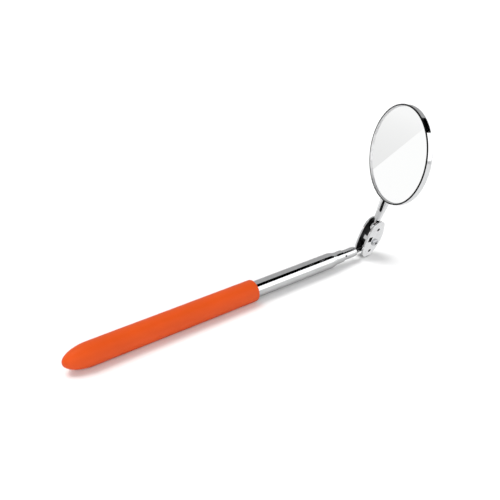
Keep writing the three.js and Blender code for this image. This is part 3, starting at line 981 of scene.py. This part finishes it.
# A dark card overhead and a paper beside the clamp, each given by two opposite corners.
OVERHEAD_CARD = ((-0.8, -0.85), (2.3, 0.1))
OVERHEAD_HEIGHT = 1.2
SIDE_PAPER = ((0.092, -0.6), (0.6, 0.018))
PAPER_LIFT = 0.001
# The far floor has two papers, which meet on a line that the mirror shows and reach out to two X values.
PAPER_EDGE = ((0.094, 0.12), (-2.31, 6.0))
PAPER_SIDES = (-6, 4)
# Each card's brightness near the tool and far behind it, and the Y between which it changes.
BRIGHTNESS = {
    "overhead_card": (0, 0),
    "right_paper": (0.86, 0.985),
    "left_paper": (1.03, 1.03),
    "side_paper": (0.86, 0.86),
}
FADE_START, FADE_END = 0.35, 1.4


def plane(name, corners, material):
    """A flat floor or card, from its corners."""
    obj = make(name, corners, [tuple(range(len(corners)))], Matrix.Identity(4))
    obj.data.materials.append(material)
    return obj


def level(low, high, z):
    """Corners of a level rectangle, from two opposite ones."""
    return [(low[0], low[1], z), (high[0], low[1], z), (high[0], high[1], z), (low[0], high[1], z)]


def glow(name, near, far):
    """An emitter that goes from one brightness to another with the distance behind the tool."""
    material = bpy.data.materials.new(name)
    material.use_nodes = True
    tree = material.node_tree
    tree.nodes.remove(tree.nodes["Principled BSDF"])
    coords = add_node(tree, "ShaderNodeTexCoord")
    split = add_node(tree, "ShaderNodeSeparateXYZ")
    fade = add_node(tree, "ShaderNodeMapRange",
                    From_Min=FADE_START, From_Max=FADE_END, To_Min=near, To_Max=far)
    emission = add_node(tree, "ShaderNodeEmission")
    tree.links.new(coords.outputs["Object"], split.inputs[0])
    tree.links.new(split.outputs["Y"], fade.inputs["Value"])
    tree.links.new(fade.outputs["Result"], emission.inputs["Strength"])
    tree.links.new(emission.outputs[0], tree.nodes["Material Output"].inputs["Surface"])
    return material


def build_floor():
    """White paper, which polished metal sees greyer than the camera does."""
    f = Finish("floor_paper", (FLOOR_WHITE,) * 3, 0.9)
    f.set("Specular IOR Level", 0.1)
    paths = f.add("ShaderNodeLightPath")
    f.vary_colour(paths.outputs["Is Glossy Ray"], (FLOOR_WHITE,) * 3, (FLOOR_IN_CHROME,) * 3, 0, 1)
    plane("floor", level((-FLOOR_HALF, -FLOOR_HALF), (FLOOR_HALF, FLOOR_HALF), 0), f.material)


def build_surroundings():
    """Three worlds in one: the camera sees white, polished metal sees a bright room in front and a greyer one
    behind, and everything else gets even light."""
    world = bpy.data.worlds.new("studio")
    bpy.context.scene.world = world
    world.use_nodes = True
    tree = world.node_tree
    tree.nodes.clear()

    def background(strength):
        return add_node(tree, "ShaderNodeBackground", Color=(1, 1, 1, 1), Strength=strength)

    def chosen(ray, otherwise, then):
        """One background for that kind of ray and another for the rest."""
        mix = add_node(tree, "ShaderNodeMixShader")
        tree.links.new(paths.outputs[ray], mix.inputs[0])
        tree.links.new(otherwise.outputs[0], mix.inputs[1])
        tree.links.new(then.outputs[0], mix.inputs[2])
        return mix

    paths = add_node(tree, "ShaderNodeLightPath")
    coords = add_node(tree, "ShaderNodeTexCoord")
    split = add_node(tree, "ShaderNodeSeparateXYZ")
    start, end = ROOM_FADE
    fade = add_node(tree, "ShaderNodeMapRange",
                    From_Min=start, From_Max=end, To_Min=ROOM["front"], To_Max=ROOM["back"])
    room = background(1.0)
    tree.links.new(coords.outputs["Generated"], split.inputs[0])
    tree.links.new(split.outputs["Y"], fade.inputs["Value"])
    tree.links.new(fade.outputs[0], room.inputs["Strength"])
    lit = chosen("Is Glossy Ray", background(ROOM["diffuse"]), room)
    seen = chosen("Is Camera Ray", lit, background(ROOM["camera"]))
    out = add_node(tree, "ShaderNodeOutputWorld")
    tree.links.new(seen.outputs[0], out.inputs["Surface"])


def sun(name, place, strength):
    """A broad light from that direction, which polished metal doesn't see."""
    data = bpy.data.lights.new(name, "SUN")
    data.energy = strength
    data.angle = SUN_SOFTNESS
    light = bpy.data.objects.new(name, data)
    light.rotation_euler = Vector(place).to_track_quat("Z", "Y").to_euler()
    light.visible_glossy = False
    bpy.context.scene.collection.objects.link(light)


def glossy_card(name, corners):
    """A card that only polished metal sees."""
    card = plane(name, corners, glow(name, *BRIGHTNESS[name]))
    card.visible_camera = False
    card.visible_diffuse = False
    card.visible_shadow = False


def build_lights():
    sun("key", KEY_FROM, KEY_STRENGTH)
    sun("front", FRONT_FROM, FRONT_STRENGTH)
    (x0, y0), (x1, y1) = PAPER_EDGE
    left, right = PAPER_SIDES
    z = PAPER_LIFT
    glossy_card("overhead_card", level(*OVERHEAD_CARD, OVERHEAD_HEIGHT))
    glossy_card("right_paper", [(x0, y0, z), (right, y0, z), (right, y1, z), (x1, y1, z)])
    glossy_card("left_paper", [(x0, y0, z), (left, y0, z), (left, y1, z), (x1, y1, z)])
    glossy_card("side_paper", level(*SIDE_PAPER, z))


def soften_mirror(pieces):
    """The raised mirror throws no shadow on the floor, and the handle's chrome doesn't show it."""
    for obj in pieces:
        obj.visible_shadow = False
        obj.visible_glossy = False


# ---- The scene ----
add_camera()
build_floor()
build_surroundings()
build_lights()

TUBE_CHROME = chrome("chrome_tube", HANDLE)
PART_CHROME = chrome("chrome_parts", HEAD, 0.07, 0.006)
PLATE_CHROME = chrome("chrome_plate", CLAMP, 0.1, 0.012)
CASE_CHROME = chrome("chrome_case", HEAD, 0.06, 0.005)
STEEL = plated_steel("zinc_plated_steel", CLAMP)

build_grip()
build_outer_tube(TUBE_CHROME)
build_rod(TUBE_CHROME)
build_rod_stud(PART_CHROME)
build_cross_pin(STEEL)
build_plates(PLATE_CHROME)
build_screw(STEEL)
build_washer(STEEL)
build_nut(STEEL)
build_mirror_stud(PART_CHROME)
STEM_PIECE = build_stem(PART_CHROME)
CASE_PIECE = build_case(CASE_CHROME)
GLASS_PIECE = build_glass(mirror("mirror_glass"))
BACKING = [frame["nodes"]["silvering"], frame["nodes"]["backing_pad"]]
soften_mirror([STEM_PIECE, CASE_PIECE, GLASS_PIECE, *BACKING])
build_rivets(STEEL)

KEPT_NODES = {
    "tail_plug": nylon("black_nylon"),
    "friction_spring": bronze("spring_bronze"),
    "rod_end_plug": bronze("plug_bronze"),
    "silvering": backing_paint("grey_paint"),
    "backing_pad": fibre_card("grey_card"),
}
for node_name, node_material in KEPT_NODES.items():
    cad = frame["nodes"][node_name]
    cad.data.materials.clear()
    cad.data.materials.append(node_material)

bpy.context.scene.view_settings.view_transform = "Standard"
